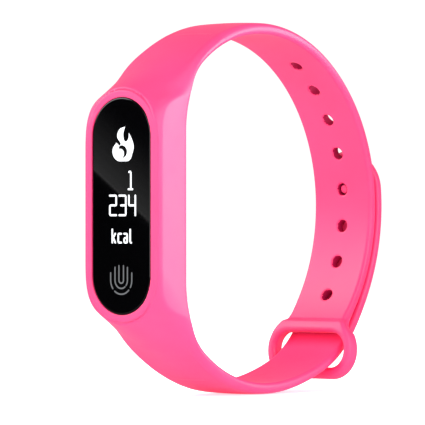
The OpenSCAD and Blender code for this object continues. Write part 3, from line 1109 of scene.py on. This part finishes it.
def window_material():
    """Dark sensor window, the light sensor and lamps showing through faintly."""
    material, tree, shader, place = start_material("sensor_glass")
    split = split_xyz(tree, place)
    x = maths(tree, "ABSOLUTE", maths(tree, "MULTIPLY", split["X"], 1 / MM))
    z = maths(tree, "ABSOLUTE", maths(tree, "MULTIPLY", split["Z"], 1 / MM))
    lamp = maths(tree, "MAXIMUM", x, maths(tree, "ABSOLUTE", maths(tree, "SUBTRACT", z, 3.0)))
    eye = maths(tree, "MAXIMUM", maths(tree, "MULTIPLY", x, 0.8), z)
    lamp_mask = remap(tree, lamp, 0.75, 0.95, 1.0, 0.0)
    eye_mask = remap(tree, eye, 1.15, 1.35, 1.0, 0.0)
    surface = grain_of(tree, place, 600, 150)
    glass = blend_colours(tree, surface["Mottle"], (0.006, 0.007, 0.009), (0.012, 0.013, 0.016))
    lamps = blend_colours(tree, lamp_mask, glass, (0.05, 0.16, 0.07))
    both = blend_colours(tree, eye_mask, lamps, (0.035, 0.03, 0.04))
    tree.links.new(both, shader.inputs["Base Color"])
    tree.links.new(remap(tree, surface["Marks"], 0.0, 1.0, 0.04, 0.12), shader.inputs["Roughness"])
    bump(tree, shader, surface["Grain"], 0.0006)
    return material


def floor_material():
    """Pale matt floor, darker where a glossy face reflects it."""
    material, tree, shader, place = start_material("pale_floor")
    cloud = noise(tree, place, 6.0, 3.0, 0.5)
    tint = blend_colours(tree, cloud, (0.9, 0.9, 0.9), (0.94, 0.94, 0.94))
    tree.links.new(tint, shader.inputs["Base Color"])
    tree.links.new(remap(tree, cloud, 0.3, 0.7, 0.7, 0.85), shader.inputs["Roughness"])
    shader.inputs["Specular IOR Level"].default_value = 0.1
    shader.inputs["Emission Color"].default_value = (1, 1, 1, 1)
    shader.inputs["Emission Strength"].default_value = 0.62
    matt = tree.nodes.new("ShaderNodeBsdfDiffuse")
    matt.inputs["Color"].default_value = (0.15, 0.15, 0.15, 1)
    seen = tree.nodes.new("ShaderNodeLightPath").outputs
    picked = mix_shaders(tree, seen["Is Glossy Ray"], shader.outputs[0], matt.outputs[0])
    tree.links.new(picked, tree.nodes["Material Output"].inputs["Surface"])
    return material


def only_glow(name, strength):
    """A plain light-giving surface for a reflector."""
    material = bpy.data.materials.new(name)
    material.use_nodes = True
    tree = material.node_tree
    tree.nodes.remove(tree.nodes["Principled BSDF"])
    light = tree.nodes.new("ShaderNodeEmission")
    light.inputs["Strength"].default_value = strength
    tree.links.new(light.outputs[0], tree.nodes["Material Output"].inputs["Surface"])
    return material


# ---- Operators: one for each piece or group of like pieces ----


class BAND_OT_strap(bpy.types.Operator):
    """Strap with its cradle, holes and keeper loop, and the tail cut off near the loop as a piece of
    its own
    """

    bl_idname = "tracker_band.strap"
    bl_label = "Strap and tail"

    def execute(self, context):
        s = context.scene.strap_settings
        path = BandPath(s.wrist_radius / MM, s.thickness / MM, s.edge / MM)
        field, low_hole, pitch = strap_field(path, s)
        seam = path.lower_position(SEAM_ANGLE)
        tip = path.lower_position(180 + STUD_ANGLE) - s.half_width / MM

        def step_along(at):
            near_hole = abs((low_hole - at + pitch / 2) % pitch - pitch / 2) < 1.7
            in_row = low_hole - pitch * (HOLE_COUNT - 1) - 2 < at < low_hole + 2
            if at < tip + 6 or (near_hole and in_row):
                return 0.25
            if at > path.loop_s - 4:
                return 0.3
            return 0.25 if abs(at) < 29 else 0.6

        def step_across(at):
            if at < 1.7:
                return 0.25
            if at < 6.1:
                return 0.4
            return 0.2 if at < 9.1 else 0.3

        def step_up(at):
            if at < 2.9:
                return 0.2
            return 0.4 if at < 6.2 else 0.2

        side = spaced(0.125, LOOP_W / 2 + 0.6, step_across)
        axes = (
            spaced(tip - 0.8, path.loop_s + LOOP_H + 0.8, step_along),
            np.concatenate([-side[::-1], side]),
            spaced(-1.0, CRADLE_T + 1.9, step_up),
        )
        points, quads = field_surface(field, axes, path.stretch)
        normals = path.face(points, slope(field, points))
        placed = path.place(points)
        quads = face_out(placed, quads, normals)
        middle = points[quads].mean(1)
        behind = middle[:, 0] < seam
        finish = silicone()
        # Faces on the holes' walls, which get the darker silicone that paints the shade in the holes
        number = np.clip(np.round((low_hole - middle[:, 0]) / pitch), 0, HOLE_COUNT - 1)
        from_hole = np.hypot(middle[:, 1], middle[:, 0] - low_hole + number * pitch)
        painted_shade_faces = from_hole < s.hole / MM + 0.04
        for name, chosen in (("strap_band", ~behind), ("strap_end", behind)):
            used, index = np.unique(quads[chosen], return_inverse=True)
            piece = make_piece(name, placed[used], index.reshape(-1, 4), finish, normals[used])
            if name == "strap_band":
                # The second material paints shade on the holes' walls
                piece.data.materials.append(hole_silicone())
                piece.data.polygons.foreach_set("material_index", painted_shade_faces[chosen].astype(np.int32))
            if name == "strap_band":
                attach(piece, "band")
                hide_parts("strap")
            else:
                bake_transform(piece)
                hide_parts("strap_tail")
        return {"FINISHED"}


class BAND_OT_ring(bpy.types.Operator):
    """Raised ring of the cradle about the lens"""

    bl_idname = "tracker_band.ring"
    bl_label = "Lens ring"

    def execute(self, context):
        low = FRONT_Y + 1.6
        profile = [(RING_R - 0.1, low), (RING_R, FRONT_Y + RING_EDGE + 0.1)]
        profile += corner(RING_R - RING_EDGE, FRONT_Y + RING_EDGE, RING_EDGE, 0, -90)
        profile += [(RING_R - RING_EDGE - 0.1, FRONT_Y), (POCKET_R + 0.25, FRONT_Y)]
        profile += corner(POCKET_R + 0.15, FRONT_Y + 0.15, 0.15, -90, -180)
        profile += [(POCKET_R, FRONT_Y + 0.3), (POCKET_R, low)]
        points, faces = pill_loft(profile, LENS_HALF, 48, closed=True)
        faces = [f[::-1] for f in faces]
        piece = make_piece("lens_ring", points, faces, silicone(), sharp=40)
        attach(piece, "band")
        return {"FINISHED"}


class BAND_OT_rib(bpy.types.Operator):
    """Rib inside the pocket that grips the capsule"""

    bl_idname = "tracker_band.rib"
    bl_label = "Pocket rib"

    def execute(self, context):
        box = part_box("pocket_rib")
        inner = LENS_R - 0.35
        middle = (inner + POCKET_R) / 2
        line = [(x, z) for x, _, z in pill_ring(middle, 0, LENS_HALF, 32)]
        piece = stroke_piece(
            "pocket_rib_soft", [(line, True)], POCKET_R - inner, (box[1].y - box[0].y) / MM,
            0, silicone(), (box[0].y + box[1].y) / 2 / MM,
        )
        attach(piece, "band")
        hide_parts("pocket_rib")
        return {"FINISHED"}


class BAND_OT_stud(bpy.types.Operator):
    """Stud of the tail, with its flange"""

    bl_idname = "tracker_band.stud"
    bl_label = "Clasp stud"

    def execute(self, context):
        turn = math.radians(STUD_ANGLE)
        axis = (0, math.cos(turn), math.sin(turn))
        profile = [(0.02, STUD_TIP_R)]
        profile += [(0.55 + x, STUD_TIP_R + 0.35 + y) for x, y in corner(0, 0, 0.35, -90, 0)]
        profile += [(0.9, STUD_TIP_R + 0.75), (0.9, DISC_R - 0.65)]
        profile += [(2.35, DISC_R - 0.5), (2.5, DISC_R - 0.35), (2.5, DISC_R), (0.02, DISC_R)]
        points, faces = turned(profile, (0, 0, 0), axis)
        finish = moulded_material(
            "stud_pink", (0.9, 0.05, 0.19), (0.84, 0.035, 0.16), (0.25, 0.35), 5000, 0.004, 200
        )
        piece = make_piece("clasp_stud_turned", points, [f[::-1] for f in faces], finish, sharp=40)
        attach(piece, "tail")
        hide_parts("clasp_stud", "stud_disc")
        return {"FINISHED"}


class BAND_OT_lens(bpy.types.Operator):
    """Polished lens with a rounded front edge"""

    bl_idname = "tracker_band.lens"
    bl_label = "Front lens"

    def execute(self, context):
        r = context.scene.capsule_settings.lens_edge / MM
        back = FRONT_Y + LENS_T
        profile = [(LENS_R - 0.1, back), (LENS_R, back - 0.1), (LENS_R, FRONT_Y + r + 0.05)]
        profile += corner(LENS_R - r, FRONT_Y + r, r, 0, -90, 8)
        profile += [(LENS_R - r - 0.05, FRONT_Y), (LENS_R - r - 0.1, FRONT_Y)]
        points, faces = pill_loft(profile, LENS_HALF, 64)
        faces = [f[::-1] for f in faces]
        piece = make_piece("lens_polished", points, faces, lens_material(), sharp=50)
        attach(piece, "capsule")
        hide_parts("front_lens")
        return {"FINISHED"}


class BAND_OT_cover(bpy.types.Operator):
    """Rear cover with the raised sensor collar and the two pad wells"""

    bl_idname = "tracker_band.cover"
    bl_label = "Rear cover"

    def execute(self, context):
        edge = context.scene.capsule_settings.cover_edge / MM

        def field(x, y, z):
            tub = round_section(
                pill_field(x, z, LENS_R, LENS_HALF), np.maximum(y - REAR_Y, -99 - y), edge
            )
            collar = round_section(
                pill_field(x, z, WINDOW_R + 0.9, WINDOW_HALF), y - COLLAR_Y, 0.35
            )
            shell = smooth_min(tub, collar, 0.7)
            hollow = np.maximum(pill_field(x, z, LENS_R - 1, LENS_HALF), y - REAR_Y + 1)
            seat = np.maximum(pill_field(x, z, WINDOW_R, WINDOW_HALF), COLLAR_Y - 0.8 - y)
            shell = np.maximum(shell, -hollow)
            shell = smooth_max(shell, -pill_field(x, z, WINDOW_R - 0.5, WINDOW_HALF), 0.1)
            shell = smooth_max(shell, -seat, 0.12)
            well = np.hypot(np.abs(x) - CONTACT_X, z - CONTACT_Z)
            dish = np.maximum(well - 1.25, REAR_Y - 0.12 - y)
            shell = smooth_max(shell, -dish, 0.15)
            return np.maximum(shell, SEAL_Y - y)

        margin = 0.35
        axes = (
            spaced(-LENS_R - margin, LENS_R + margin, lambda at: 0.2),
            spaced(SEAL_Y - margin, COLLAR_Y + margin, lambda at: 0.15),
            spaced(-LENS_HALF - LENS_R - margin, LENS_HALF + LENS_R + margin, lambda at: 0.25),
        )
        points, quads = field_surface(field, axes)
        normals = unit(slope(field, points))
        quads = face_out(points, quads, normals)
        piece = make_piece("rear_cover_rounded", points, quads, black_shell(), normals)
        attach(piece, "capsule")
        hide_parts("rear_cover")
        return {"FINISHED"}


class BAND_OT_window(bpy.types.Operator):
    """Polished window over the pulse sensor"""

    bl_idname = "tracker_band.window"
    bl_label = "Sensor window"

    def execute(self, context):
        r = WINDOW_R - 0.04
        top = COLLAR_Y - 0.05
        profile = [(r, top - 0.7), (r, top - 0.25)]
        profile += corner(r - 0.2, top - 0.2, 0.2, 0, 90)
        profile += [(r - 0.25, top), (r - 0.35, top)]
        points, faces = pill_loft(profile, WINDOW_HALF, 40)
        piece = make_piece("sensor_window_polished", points, faces, window_material(), sharp=50)
        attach(piece, "capsule")
        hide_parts("sensor_window")
        return {"FINISHED"}


class BAND_OT_contacts(bpy.types.Operator):
    """The two dished charging pads"""

    bl_idname = "tracker_band.contacts"
    bl_label = "Charging pads"

    def execute(self, context):
        profile = [
            (0.98, -1), (0.98, -0.12), (0.9, -0.05), (0.8, -0.04), (0.5, -0.07), (0.02, -0.09),
        ]
        points = []
        faces = []
        for side in (-1, 1):
            more, sides = turned(profile, (side * CONTACT_X, REAR_Y, CONTACT_Z), (0, 1, 0), 32)
            faces += [[len(points) + i for i in f] for f in sides]
            points += more
        piece = make_piece("charge_pads", points, faces, pad_gold(), sharp=50)
        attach(piece, "capsule")
        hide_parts("charge_contacts")
        return {"FINISHED"}


class BAND_OT_seals(bpy.types.Operator):
    """Seal between the housings and the tape under the lens"""

    bl_idname = "tracker_band.seals"
    bl_label = "Seal and tape"

    def execute(self, context):
        rubber = moulded_material(
            "gasket_rubber", (0.05, 0.05, 0.05), (0.03, 0.03, 0.03), (0.5, 0.65)
        )
        tape = moulded_material("black_tape", (0.07, 0.07, 0.07), (0.05, 0.05, 0.05), (0.55, 0.7))
        for node, name, finish, slot in (
            ("case_seal", "case_seal_soft", rubber, "seal"),
            ("lens_adhesive", "lens_tape", tape, "tape"),
        ):
            low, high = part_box(node)
            outer = high.x / MM
            inner = outer - 0.7
            line = [(x, z) for x, _, z in pill_ring((outer + inner) / 2, 0, LENS_HALF, 32)]
            piece = stroke_piece(
                name, [(line, True)], outer - inner, (high.y - low.y) / MM, 0, finish,
                (low.y + high.y) / 2 / MM,
            )
            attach(piece, "capsule")
            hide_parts(node)
        return {"FINISHED"}


def digit_lines(digit, x, z, w, h):
    """Strokes of a digit in a box from its lower left corner."""
    m = h / 2
    shapes = {
        0: [([(0, 0), (0, h), (w, h), (w, 0)], True)],
        1: [([(w * 0.15, h * 0.86), (w * 0.6, h), (w * 0.6, 0)], False), ([(0, 0), (w, 0)], False)],
        2: [([(0, h), (w, h), (w, m), (0, m), (0, 0), (w, 0)], False)],
        3: [([(0, h), (w, h), (w, 0), (0, 0)], False), ([(w * 0.25, m), (w, m)], False)],
        4: [([(0, h), (0, m), (w, m)], False), ([(w, h), (w, 0)], False)],
        5: [([(w, h), (0, h), (0, m), (w, m), (w, 0), (0, 0)], False)],
        6: [([(w, h), (0, h), (0, 0), (w, 0), (w, m), (0, m)], False)],
        7: [([(0, h), (w, h), (w, 0)], False)],
        8: [([(0, 0), (0, h), (w, h), (w, 0)], True), ([(0, m), (w, m)], False)],
        9: [([(w, m), (0, m), (0, h), (w, h), (w, 0), (0, 0)], False)],
    }
    return [([(x + u, z + v) for u, v in line], ring) for line, ring in shapes[digit]]


def unit_lines(x, z, w, h):
    """Strokes of the energy unit's four letters, each w wide and up to h high."""
    gap = w
    low = h * 0.68
    k = [([(0, 0), (0, h)], False), ([(w, low), (w * 0.12, low * 0.45)], False),
         ([(w * 0.3, low * 0.55), (w, 0)], False)]
    c = [([(w, low), (0, low), (0, 0), (w, 0)], False)]
    a = [([(0, low), (w, low), (w, 0), (0, 0), (0, low * 0.52), (w, low * 0.52)], False)]
    bar = [([(0, h), (0, 0), (w * 0.35, 0)], False)]
    lines = []
    for i, letter in enumerate((k, c, a, bar)):
        shift = x + i * (w + gap)
        lines += [([(shift + u, z + v) for u, v in line], ring) for line, ring in letter]
    return lines


def touch_lines():
    """Nested U shapes, the wider ones broken, that mark the touch key."""
    lines = []
    for r, rise, breaks in ((0.55, 2.6, ()), (1.5, 2.3, (0.7,)), (2.55, 1.3, (0.3, 0.75))):
        arc = [(-r, rise), (-r, rise / 2)]
        arc += [(-r * math.cos(math.pi * k / 24), -r * math.sin(math.pi * k / 24)) for k in range(25)]
        arc += [(r, rise / 2), (r, rise)]
        arc = [(TOUCH_MIDDLE[0] + u, TOUCH_MIDDLE[1] + v) for u, v in arc]
        marks = [0] + [int(b * len(arc)) for b in breaks] + [len(arc)]
        for a, b in zip(marks, marks[1:]):
            lines.append((arc[a + (1 if a else 0):b], False))
    return lines


def flame_mesh(name, centre, w, h, depth, material):
    """A two-tongued flame with a curled hollow, as a thin plate in the lens plane."""
    outline = [
        (0.05, 0.0), (0.32, 0.04), (0.43, 0.2), (0.5, 0.42), (0.42, 0.62), (0.28, 0.8),
        (0.24, 0.62), (0.12, 0.56), (0.02, 0.74), (0.1, 0.98), (-0.16, 0.9), (-0.26, 0.7),
        (-0.12, 0.46), (-0.3, 0.53), (-0.48, 0.32), (-0.34, 0.06),
    ]
    hollow = [
        (-0.02, 0.08), (0.16, 0.18), (0.16, 0.36), (-0.14, 0.44), (-0.2, 0.36), (-0.02, 0.33),
        (0.05, 0.22),
    ]
    sharp = ((0.28, 0.8), (0.1, 0.98), (-0.3, 0.53), (-0.02, 0.08), (-0.2, 0.36))
    curve = bpy.data.curves.new(name, "CURVE")
    curve.dimensions = "2D"
    curve.fill_mode = "BOTH"
    curve.extrude = 0.01 * MM
    curve.resolution_u = 8
    for ring in (outline, hollow):
        spline = curve.splines.new("BEZIER")
        spline.bezier_points.add(len(ring) - 1)
        spline.use_cyclic_u = True
        for point, (u, v) in zip(spline.bezier_points, ring):
            point.co = (u * w * MM, v * h * MM, 0)
            kind = "VECTOR" if (u, v) in sharp else "AUTO"
            point.handle_left_type = kind
            point.handle_right_type = kind
    mesh = baked(add_object(name + "_draft", curve))
    stand_up(mesh, centre, depth)
    mesh.materials.clear()
    mesh.materials.append(material)
    mesh.name = name
    return add_object(name, mesh)


class BAND_OT_display(bpy.types.Operator):
    """Lit signs of the display: flame, count, unit and touch mark"""

    bl_idname = "tracker_band.display"
    bl_label = "Display signs"

    def execute(self, context):
        d = context.scene.sign_settings
        lit = glow_material("sign_lit", tuple(d.lit), d.glow)
        dim = glow_material("sign_dim", (0.5, 0.52, 0.55), 0.35)
        lines = digit_lines(d.top_count, *TOP_DIGIT)
        left, *low = LOW_DIGIT
        for i, digit in enumerate(str(d.low_count)):
            lines += digit_lines(int(digit), left + i * LOW_DIGIT_STEP, *low)
        letters = unit_lines(*UNIT_LETTERS)
        pieces = [
            stroke_piece(name, drawn, width, SIGN_T, corner_r, finish, SIGN_Y)
            for name, drawn, width, corner_r, finish in (
                ("count_digits", lines, d.stroke / MM, SIGN_CORNER, lit),
                ("unit_letters", letters, UNIT_STROKE, SIGN_CORNER, lit),
                ("touch_mark", touch_lines(), TOUCH_STROKE, 0, dim),
            )
        ]
        pieces.append(flame_mesh("flame_sign", FLAME_MIDDLE, FLAME_W, FLAME_H, SIGN_Y, lit))
        for piece in pieces:
            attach(piece, "capsule")
        return {"FINISHED"}


class BAND_OT_inner_parts(bpy.types.Operator):
    """Finishes of the parts inside the capsule"""

    bl_idname = "tracker_band.inner_parts"
    bl_label = "Inner parts"

    def execute(self, context):
        steel = metal_material("drawn_steel", (0.6, 0.61, 0.62), (0.46, 0.47, 0.48), (0.22, 0.4))
        weight = metal_material(
            "heavy_alloy", (0.42, 0.38, 0.3), (0.3, 0.26, 0.2), (0.4, 0.55), 2500, (1, 1, 1), 0.01
        )
        gold = pad_gold()
        board = board_material()
        chip = chip_material()
        display, film, white, tape = (
            moulded_material(*values)
            for values in (
                ("display_glass", (0.03, 0.035, 0.055), (0.018, 0.022, 0.035), (0.06, 0.14),
                 500, 0.001, 80),
                ("amber_film", (0.55, 0.24, 0.04), (0.42, 0.17, 0.025), (0.25, 0.4), 2500, 0.006),
                ("white_ceramic", (0.8, 0.79, 0.75), (0.68, 0.67, 0.62), (0.35, 0.5), 3500, 0.006),
                ("pale_tape", (0.72, 0.68, 0.55), (0.6, 0.56, 0.45), (0.5, 0.65), 2000, 0.02),
            )
        )
        finishes = {
            "front_frame": black_shell(), "oled_display": display, "display_flex": film,
            "touch_electrode": gold, "main_board": board, "sensor_board": board,
            "bluetooth_chip": chip, "memory_chip": chip, "power_chip": chip, "motion_sensor": chip,
            "pulse_sensor": chip, "crystal": steel, "antenna": white,
            "battery_cell": pouch_material(), "battery_tape": tape,
            "battery_leads": lead_material("battery_wire", (0.012, 0.012, 0.012), (0.6, 0.02, 0.02)),
            "motor_leads": lead_material("motor_wire", (0.02, 0.05, 0.5), (0.6, 0.02, 0.02)),
            "motor_case": steel, "motor_cover": steel, "motor_shaft": steel, "motor_rotor": weight,
        }
        for node, finish in finishes.items():
            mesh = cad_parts[node].data
            mesh.materials.clear()
            mesh.materials.append(finish)
        return {"FINISHED"}


def stage_plate(name, corners, material):
    """A flat staged plate through four corners in metres."""
    mesh = bpy.data.meshes.new(name)
    mesh.from_pydata([tuple(c) for c in corners], [], [(0, 1, 2, 3)])
    mesh.materials.append(material)
    plate = add_object(name, mesh)
    plate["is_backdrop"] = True
    return plate


def hide_from(plate, *kinds):
    """Hides a plate from some kinds of ray."""
    for kind in kinds:
        setattr(plate, "visible_" + kind, False)


def around(azimuth, elevation, distance):
    """A point about the band, at angles in degrees and a distance in metres."""
    u = math.radians(azimuth)
    v = math.radians(elevation)
    return Vector((math.sin(u) * math.cos(v), -math.cos(u) * math.cos(v), math.sin(v))) * distance


def area_light(name, at, target, size, power):
    """A soft square light that faces a target."""
    data = bpy.data.lights.new(name, "AREA")
    data.size = size
    data.energy = power
    light = add_object(name, data)
    light.location = at
    light.rotation_mode = "QUATERNION"
    light.rotation_quaternion = (Vector(target) - Vector(at)).to_track_quat("-Z", "Y")


class BAND_OT_stage(bpy.types.Operator):
    """Camera, soft lights and pale floor"""

    bl_idname = "tracker_band.stage"
    bl_label = "Stage"

    def execute(self, context):
        s = context.scene.stage_settings
        a = s.azimuth
        back = Vector((math.sin(a), -math.cos(a), CAMERA_TILT)).normalized()
        right = Vector((math.cos(a), math.sin(a), 0))
        up = right.cross(-back).normalized()
        target = right * AIM_RIGHT * MM + Vector((0, 0, AIM_UP * MM))
        camera_data = bpy.data.cameras.new("camera")
        camera_data.sensor_width = 36
        camera_data.lens = CAMERA_LENS
        camera_data.clip_start = 0.05
        camera_data.clip_end = 20
        camera = add_object("camera", camera_data)
        camera.location = target + back * s.distance
        camera.rotation_mode = "QUATERNION"
        camera.rotation_quaternion = (-back).to_track_quat("-Z", "Y")
        context.scene.camera = camera
        context.scene.view_settings.view_transform = "Standard"

        floor_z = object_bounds()[0].z - FLOOR_DROP * MM
        floor = [
            (x * FLOOR_REACH, y * FLOOR_REACH, floor_z)
            for x, y in ((-1, -1), (1, -1), (1, 1), (-1, 1))
        ]
        stage_plate("floor", floor, floor_material())

        world = bpy.data.worlds.new("soft_surround")
        world.use_nodes = True
        context.scene.world = world
        tree = world.node_tree
        tree.nodes.remove(tree.nodes["Background"])
        seen = tree.nodes.new("ShaderNodeLightPath").outputs
        sky = white_background(tree, s.surround)
        gloss = white_background(tree, s.surround * GLOSS_SHARE)
        soft = mix_shaders(tree, seen["Is Glossy Ray"], sky, gloss)
        picked = mix_shaders(tree, seen["Is Camera Ray"], soft, white_background(tree, BACKDROP))
        tree.links.new(picked, tree.nodes["World Output"].inputs["Surface"])

        for name, azimuth, elevation, distance, aim_y, size, share in LIGHTS:
            at = around(azimuth, elevation, distance)
            area_light(name, at, (0, aim_y * MM, 0), size, s.key * share)

        def mirrored(x, z, beyond):
            """Where the sight line that the lens reflects at (x, z) is, beyond the lens."""
            eye = camera.location.copy()
            eye.y = 2 * FRONT_Y * MM - eye.y
            point = Vector((x * MM, FRONT_Y * MM, z * MM))
            return eye + (point - eye) * (1 + beyond / (point - eye).length)

        def strip(low, high, beyond):
            """A slanted strip of the reflector, between two heights above its lower edge."""
            (x0, z0), (x1, z1) = CARD_LEFT, CARD_RIGHT
            sides = ((x0, z0 + low), (x1, z1 + low), (x1, z1 + high), (x0, z0 + high))
            return [mirrored(x, z, beyond) for x, z in sides]

        reflectors = [("flag", [mirrored(x, z, FLAG_BEYOND) for x, z in FLAG], 0.0)]
        reflectors.append(("card_edge", strip(0, EDGE_STEP, EDGE_BEYOND), EDGE_GLOW))
        for i in range(CARD_STRIPS):
            fade = s.glare * (1 - i / CARD_STRIPS) ** 1.6
            low = i * CARD_STEP
            reflectors.append((f"card_{i}", strip(low, low + CARD_STEP, CARD_BEYOND), fade))
        centre = SHADE_MIDDLE + SHADE_ALONG * SHADE_AWAY
        shade_corners = [
            (centre + SHADE_ACROSS * across + Vector((0, 0, z))) * MM
            for across, z in SHADE_CORNERS
        ]
        shade = stage_plate("shade", shade_corners, only_glow("shade_dark", 0.0))
        hide_from(shade, "camera", "diffuse")
        for name, corners, strength in reflectors:
            plate = stage_plate(name, corners, only_glow(name + "_light", strength))
            hide_from(plate, "camera", "diffuse", "shadow", "transmission")
        return {"FINISHED"}


class BAND_PT_sidebar(bpy.types.Panel):
    """Settings and build buttons of the tracker band"""

    bl_idname = "BAND_PT_sidebar"
    bl_label = "Tracker band"
    bl_space_type = "VIEW_3D"
    bl_region_type = "UI"
    bl_category = "Tracker band"

    def draw(self, context):
        for group in SETTINGS:
            box = self.layout.box()
            values = getattr(context.scene, group)
            box.label(text=group.replace("_", " ").capitalize())
            for name in values.bl_rna.properties.keys():
                if name not in ("rna_type", "name"):
                    box.prop(values, name)
        for operator in OPERATORS:
            self.layout.operator(operator.bl_idname)


SETTINGS = {
    "strap_settings": StrapSettings,
    "capsule_settings": CapsuleSettings,
    "sign_settings": DisplaySettings,
    "stage_settings": StageSettings,
}
OPERATORS = (
    BAND_OT_strap,
    BAND_OT_ring,
    BAND_OT_rib,
    BAND_OT_stud,
    BAND_OT_lens,
    BAND_OT_cover,
    BAND_OT_window,
    BAND_OT_contacts,
    BAND_OT_seals,
    BAND_OT_display,
    BAND_OT_inner_parts,
    BAND_OT_stage,
)


def register():
    """Adds the settings, the operators and the panel."""
    for name, group in SETTINGS.items():
        bpy.utils.register_class(group)
        setattr(bpy.types.Scene, name, bpy.props.PointerProperty(type=group))
    for operator in OPERATORS:
        bpy.utils.register_class(operator)
    bpy.utils.register_class(BAND_PT_sidebar)


def unregister():
    """Removes what register added."""
    bpy.utils.unregister_class(BAND_PT_sidebar)
    for operator in reversed(OPERATORS):
        bpy.utils.unregister_class(operator)
    for name, group in reversed(list(SETTINGS.items())):
        delattr(bpy.types.Scene, name)
        bpy.utils.unregister_class(group)


def main():
    """Builds every piece and the stage."""
    register()
    for operator in OPERATORS:
        group, name = operator.bl_idname.split(".")
        getattr(getattr(bpy.ops, group), name)()
    bpy.context.view_layer.update()


if __name__ == "__main__":
    main()
